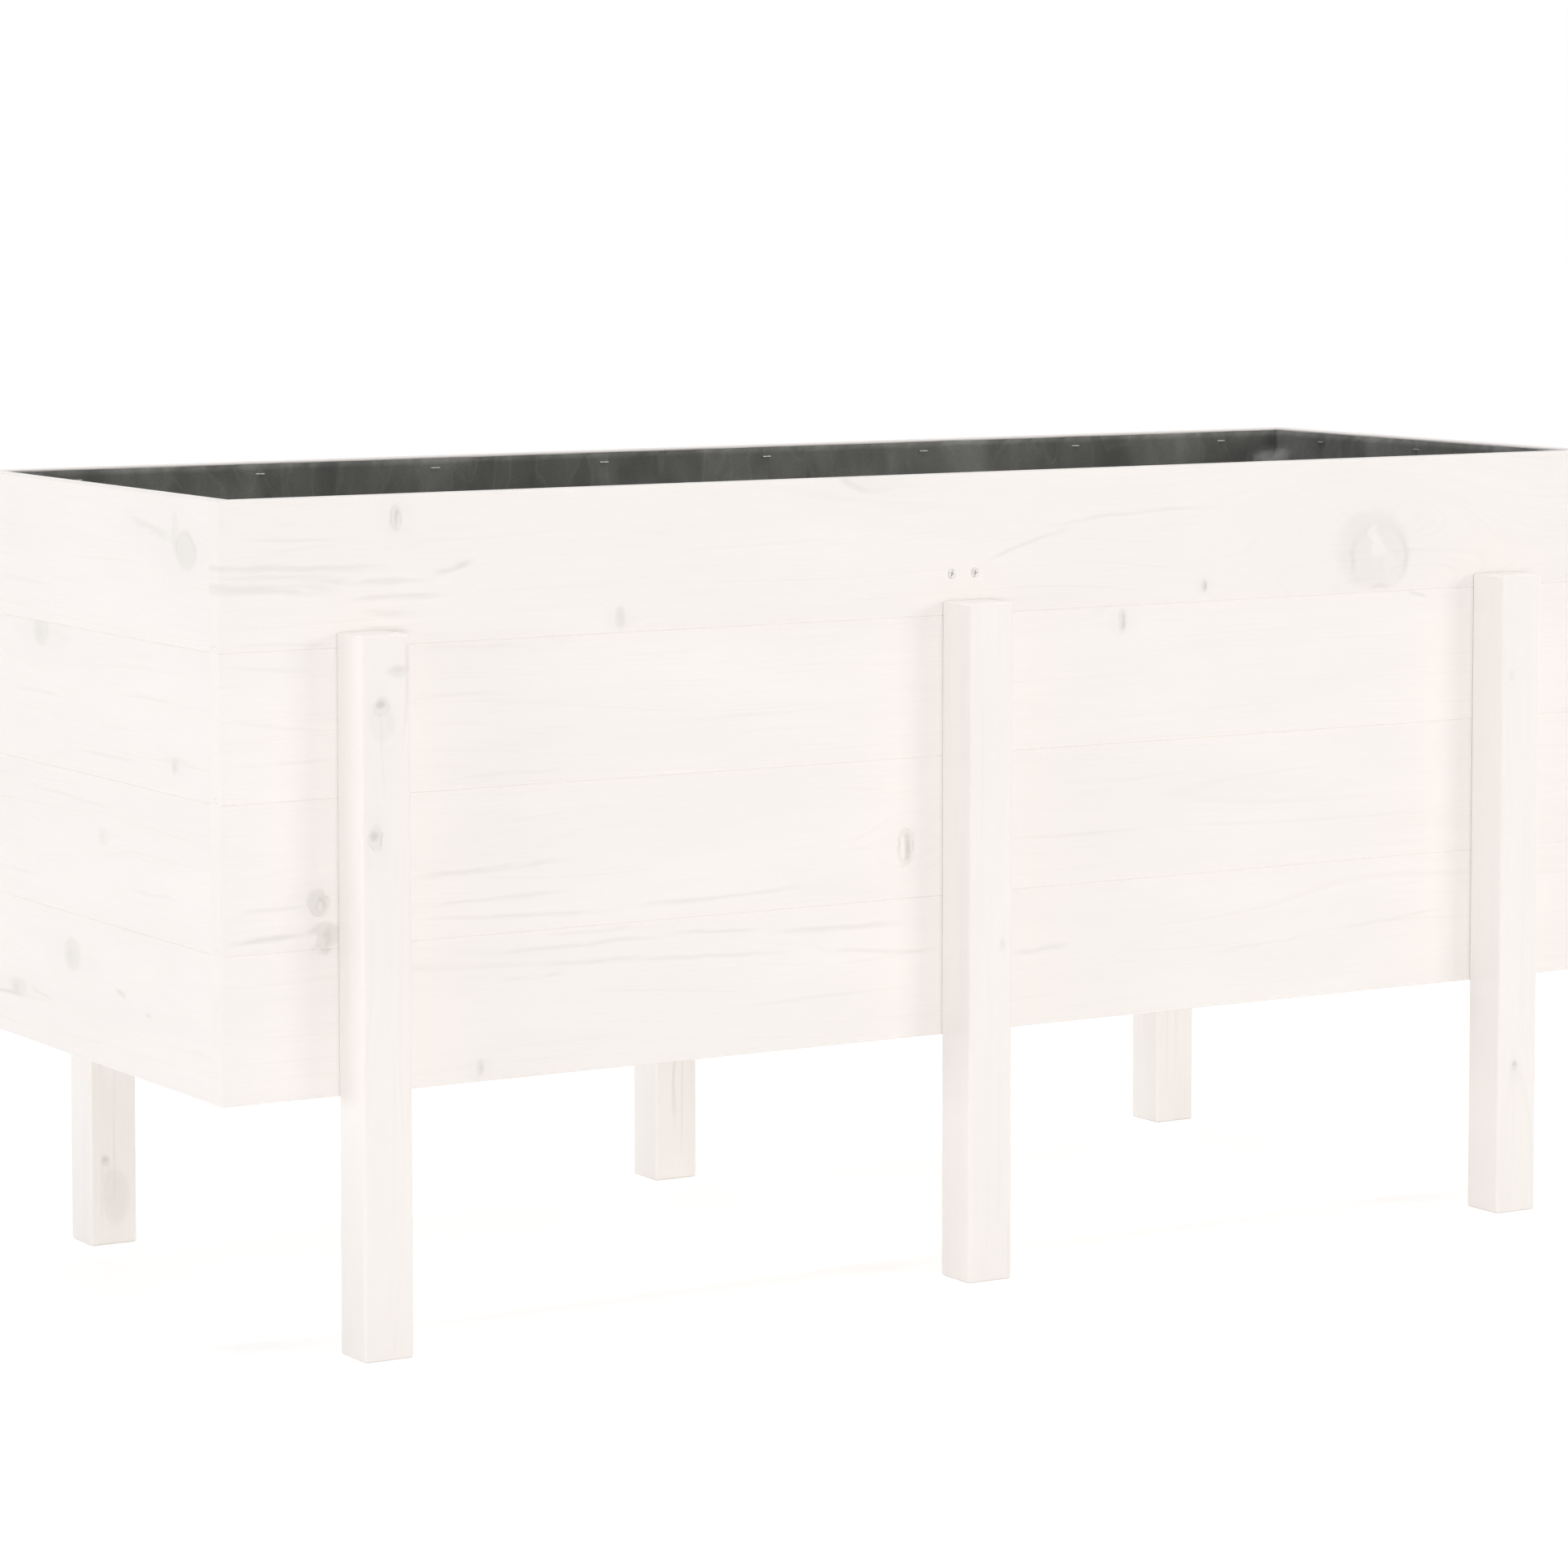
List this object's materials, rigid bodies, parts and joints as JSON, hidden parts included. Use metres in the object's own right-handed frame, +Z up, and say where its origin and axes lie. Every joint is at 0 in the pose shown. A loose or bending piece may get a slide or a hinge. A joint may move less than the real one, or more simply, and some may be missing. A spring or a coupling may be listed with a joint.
{
  "type": "raised garden bed",
  "caption": "Long white-stained pine garden bed on square legs: boarded walls, slatted floor, brace across the middle and a fabric liner that holds the soil.",
  "frame": {"origin": "on the ground, under the middle of the bed", "axes": "+X along the bed, +Y from the front wall to the back wall, +Z up"},
  "size_m": [1.595, 0.657, 0.786],
  "materials": {
    "board_pine": "white-stained pine, matt, knots showing through",
    "leg_pine": "white-stained planed square pine, matt",
    "frame_pine": "white-stained planed pine, matt",
    "floor_pine": "white-stained pine boards, matt",
    "brace_pine": "white-stained planed square pine, matt",
    "liner_fabric": "black-grey non-woven fabric, dull, creased",
    "zinc_steel": "zinc-plated, slightly dull"
  },
  "bodies": {
    "root": {"front_board_1": "board_pine", "front_board_2": "board_pine", "front_board_3": "board_pine", "front_board_4": "board_pine", "back_board_1": "board_pine", "back_board_2": "board_pine", "back_board_3": "board_pine", "back_board_4": "board_pine", "left_board_1": "board_pine", "left_board_2": "board_pine", "left_board_3": "board_pine", "left_board_4": "board_pine", "right_board_1": "board_pine", "right_board_2": "board_pine", "right_board_3": "board_pine", "right_board_4": "board_pine", "leg_front_left": "leg_pine", "leg_front_middle": "leg_pine", "leg_front_right": "leg_pine", "leg_back_left": "leg_pine", "leg_back_middle": "leg_pine", "leg_back_right": "leg_pine", "corner_batten_front_left": "frame_pine", "corner_batten_front_right": "frame_pine", "corner_batten_back_left": "frame_pine", "corner_batten_back_right": "frame_pine", "floor_rail_front": "frame_pine", "floor_rail_back": "frame_pine", "floor_slat_01": "floor_pine", "floor_slat_02": "floor_pine", "floor_slat_03": "floor_pine", "floor_slat_04": "floor_pine", "floor_slat_05": "floor_pine", "floor_slat_06": "floor_pine", "floor_slat_07": "floor_pine", "floor_slat_08": "floor_pine", "floor_slat_09": "floor_pine", "floor_slat_10": "floor_pine", "floor_slat_11": "floor_pine", "floor_slat_12": "floor_pine", "floor_slat_13": "floor_pine", "floor_slat_14": "floor_pine", "cross_brace": "brace_pine", "liner": "liner_fabric", "leg_screws": "zinc_steel", "batten_screws": "zinc_steel", "rail_screws": "zinc_steel", "slat_screws": "zinc_steel", "brace_screws": "zinc_steel", "liner_staples": "zinc_steel"}
  },
  "joints": []
}
